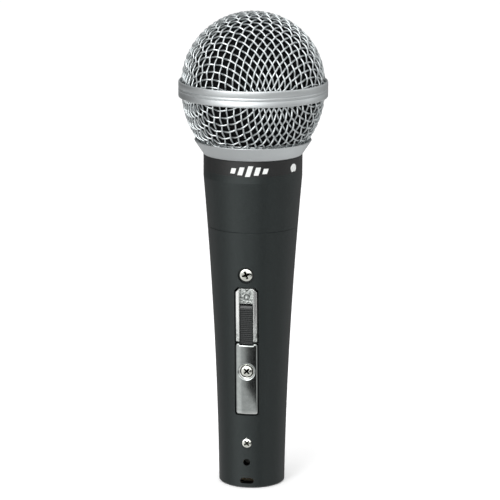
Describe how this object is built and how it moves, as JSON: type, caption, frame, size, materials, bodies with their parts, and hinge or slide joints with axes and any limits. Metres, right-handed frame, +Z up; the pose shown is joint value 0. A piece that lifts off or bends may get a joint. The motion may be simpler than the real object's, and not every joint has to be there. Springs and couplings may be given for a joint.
{
  "type": "dynamic microphone",
  "caption": "Handheld dynamic vocal microphone with a ball grille, tapered handle, slide switch, lock plate and a plug-in connector in its base.",
  "frame": {"origin": "centre of the flat base ring that the microphone stands on", "axes": "+Z up along the handle to the grille, -Y out of the face with the switch, +X to the right of it"},
  "size_m": [0.051, 0.051, 0.1647],
  "materials": {
    "handle_paint": "fine textured matte paint",
    "printed_black": "smooth satin black",
    "satin_metal": "bead-blasted satin",
    "wire_mesh": "woven drawn wire",
    "foam": "open-cell foam",
    "polished_plate": "polished, light brushing",
    "frame_metal": "satin plated, textured floor",
    "slider_plastic": "moulded, ribbed",
    "screw_metal": "nickel plated",
    "black_plastic": "moulded",
    "contact_metal": "plated",
    "board": "solder resist",
    "zinc_steel": "zinc plated",
    "lamination": "varnished steel",
    "winding": "enamelled copper",
    "rubber": "matte",
    "capsule_shell": "dark anodised",
    "magnet_metal": "ground",
    "film": "thin clear film",
    "felt": "pressed felt",
    "phenolic": "brown laminate",
    "lead_red": "insulated lead",
    "lead_black": "insulated lead",
    "lead_yellow": "insulated lead",
    "lead_blue": "insulated lead"
  },
  "bodies": {
    "root": {"handle": "handle_paint", "upper_housing": "handle_paint", "printed_band": "printed_black", "connector_insert": "black_plastic", "contact_pin_1": "contact_metal", "contact_pin_2": "contact_metal", "contact_pin_3": "contact_metal", "ground_tag": "contact_metal", "connector_screw": "screw_metal", "bracket_screw": "screw_metal", "switch_frame": "frame_metal", "switch_body": "black_plastic", "switch_board": "board", "switch_terminals": "contact_metal", "switch_bracket": "zinc_steel", "lock_plate": "polished_plate", "lock_plate_screw": "screw_metal", "transformer_core": "lamination", "transformer_coil": "winding", "shock_mount": "rubber", "capsule_housing": "capsule_shell", "rear_chamber": "capsule_shell", "yoke_cup": "zinc_steel", "magnet": "magnet_metal", "pole_piece": "zinc_steel", "diaphragm_ring": "black_plastic", "acoustic_felt": "felt", "resonator_cap": "black_plastic", "terminal_disc": "phenolic", "capsule_terminals": "contact_metal", "capsule_lead_left": "lead_red", "capsule_lead_right": "lead_black", "switch_lead_left": "lead_red", "switch_lead_right": "lead_black", "pin_lead_2": "lead_yellow", "pin_lead_3": "lead_blue"},
    "slider": {"switch_slider": "slider_plastic", "switch_actuator": "black_plastic"},
    "windscreen": {"windscreen": "foam"},
    "grille": {"grille_dome": "wire_mesh", "grille_basket": "wire_mesh", "grille_band": "satin_metal", "grille_collar": "satin_metal"},
    "coil": {"voice_coil": "winding", "diaphragm": "film"}
  },
  "joints": [
    {"name": "switch_slide", "type": "slide", "parent": "root", "child": "slider", "axis": [0, -0.0562, 0.9984], "range_m": [0, 0.006]},
    {"name": "grille_lift", "type": "slide", "parent": "root", "child": "windscreen", "axis": [0, 0, 1], "range_m": [0, 0.003]},
    {"name": "grille_turn", "type": "hinge", "parent": "windscreen", "child": "grille", "pos_m": [0, 0, 0.118], "axis": [0, 0, 1], "range_deg": [0, 1080]},
    {"name": "coil_travel", "type": "slide", "parent": "root", "child": "coil", "axis": [0, 0, 1], "range_m": [-0.00025, 0.00025], "stiffness_N_per_m": 400}
  ],
  "couplings": [
    {"joint": "grille_lift", "follows": "grille_turn", "m_per_rad": 0.000159}
  ]
}
